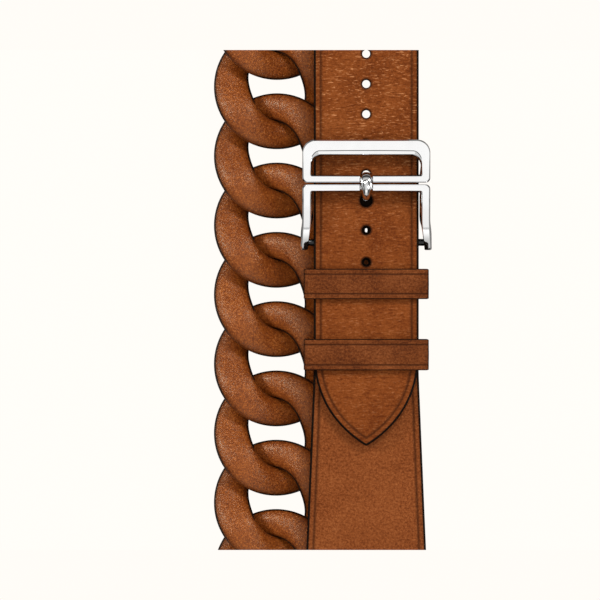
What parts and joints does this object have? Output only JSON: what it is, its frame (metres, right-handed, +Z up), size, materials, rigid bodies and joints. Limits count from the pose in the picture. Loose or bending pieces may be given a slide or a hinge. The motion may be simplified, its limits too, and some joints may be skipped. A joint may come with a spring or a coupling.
{
  "type": "double wrap watch strap",
  "caption": "Leather watch strap that wraps the wrist twice: a flat buckled run and a curb chain of interlocked leather rings, laid side by side.",
  "frame": {"origin": "middle of the part's base, on the surface it lies on", "axes": "+Y along the two runs towards the bend in the strap, +X from the chain to the buckled run, +Z up from the surface, out of the strap's outer face"},
  "size_m": [0.0402, 0.1766, 0.018],
  "materials": {
    "tan_leather": "waxed, fine grain",
    "lining_leather": "matt",
    "keeper_leather": "waxed, fine grain",
    "polished_steel": "polished"
  },
  "bodies": {
    "strap": {"buckle_strap_outer": "tan_leather", "buckle_strap_lining": "lining_leather", "long_strap_outer": "tan_leather", "long_strap_lining": "lining_leather", "fixed_keeper": "keeper_leather", "buckle_lower_frame": "polished_steel", "buckle_bar": "polished_steel", "turn_end_loop": "tan_leather"},
    "upper_frame": {"buckle_upper_frame": "polished_steel"},
    "tongue": {"tongue": "polished_steel"},
    "free_keeper": {"free_keeper": "keeper_leather"},
    "buckle_lug": {"buckle_lug": "polished_steel", "buckle_lug_pin": "polished_steel"},
    "link_01": {"chain_link_01": "tan_leather"},
    "link_02": {"chain_link_02": "tan_leather"},
    "link_03": {"chain_link_03": "tan_leather"},
    "link_04": {"chain_link_04": "tan_leather"},
    "link_05": {"chain_link_05": "tan_leather"},
    "link_06": {"chain_link_06": "tan_leather"},
    "link_07": {"chain_link_07": "tan_leather"},
    "link_08": {"chain_link_08": "tan_leather"},
    "link_09": {"chain_link_09": "tan_leather"},
    "lug_strap": {"lug_end_loop": "tan_leather", "lug_strap_outer": "tan_leather", "lug_strap_lining": "lining_leather"},
    "chain_lug": {"chain_lug": "polished_steel", "chain_lug_pin": "polished_steel"}
  },
  "joints": [
    {"name": "upper_frame_flip", "type": "hinge", "parent": "strap", "child": "upper_frame", "pos_m": [0.0077, 0.02016, 0.01588], "axis": [1, 0, 0], "range_deg": [0, 85]},
    {"name": "tongue_pivot", "type": "hinge", "parent": "strap", "child": "tongue", "pos_m": [0.0077, 0.01941, 0.01588], "axis": [1, 0, 0], "range_deg": [-75, 0]},
    {"name": "keeper_slide", "type": "slide", "parent": "strap", "child": "free_keeper", "axis": [0, 1, 0], "range_m": [-0.0015, 0.0065]},
    {"name": "buckle_lug_pivot", "type": "hinge", "parent": "strap", "child": "buckle_lug", "pos_m": [0.0077, -0.06054, 0.01023], "axis": [1, 0, 0], "range_deg": [-20, 20]},
    {"name": "link_01_swing", "type": "hinge", "parent": "strap", "child": "link_01", "pos_m": [-0.0077, 0.05664, 0.00358], "axis": [1, 0, 0], "range_deg": [0, 10]},
    {"name": "link_02_swing", "type": "hinge", "parent": "link_01", "child": "link_02", "pos_m": [-0.0077, 0.04224, 0.00358], "axis": [1, 0, 0], "range_deg": [0, 20]},
    {"name": "link_03_swing", "type": "hinge", "parent": "link_02", "child": "link_03", "pos_m": [-0.0077, 0.03029, 0.00358], "axis": [1, 0, 0], "range_deg": [0, 20]},
    {"name": "link_04_swing", "type": "hinge", "parent": "link_03", "child": "link_04", "pos_m": [-0.0077, 0.01834, 0.00358], "axis": [1, 0, 0], "range_deg": [0, 20]},
    {"name": "link_05_swing", "type": "hinge", "parent": "link_04", "child": "link_05", "pos_m": [-0.0077, 0.00639, 0.00358], "axis": [1, 0, 0], "range_deg": [0, 20]},
    {"name": "link_06_swing", "type": "hinge", "parent": "link_05", "child": "link_06", "pos_m": [-0.0077, -0.00556, 0.00358], "axis": [1, 0, 0], "range_deg": [0, 20]},
    {"name": "link_07_swing", "type": "hinge", "parent": "link_06", "child": "link_07", "pos_m": [-0.0077, -0.01751, 0.00358], "axis": [1, 0, 0], "range_deg": [0, 20]},
    {"name": "link_08_swing", "type": "hinge", "parent": "link_07", "child": "link_08", "pos_m": [-0.0077, -0.02946, 0.00358], "axis": [1, 0, 0], "range_deg": [0, 20]},
    {"name": "link_09_swing", "type": "hinge", "parent": "link_08", "child": "link_09", "pos_m": [-0.0077, -0.04141, 0.00358], "axis": [1, 0, 0], "range_deg": [0, 20]},
    {"name": "lug_strap_swing", "type": "hinge", "parent": "link_09", "child": "lug_strap", "pos_m": [-0.0077, -0.05582, 0.00358], "axis": [1, 0, 0], "range_deg": [0, 10]},
    {"name": "chain_lug_pivot", "type": "hinge", "parent": "lug_strap", "child": "chain_lug", "pos_m": [-0.0077, -0.08409, 0.00173], "axis": [1, 0, 0], "range_deg": [-20, 20]}
  ]
}
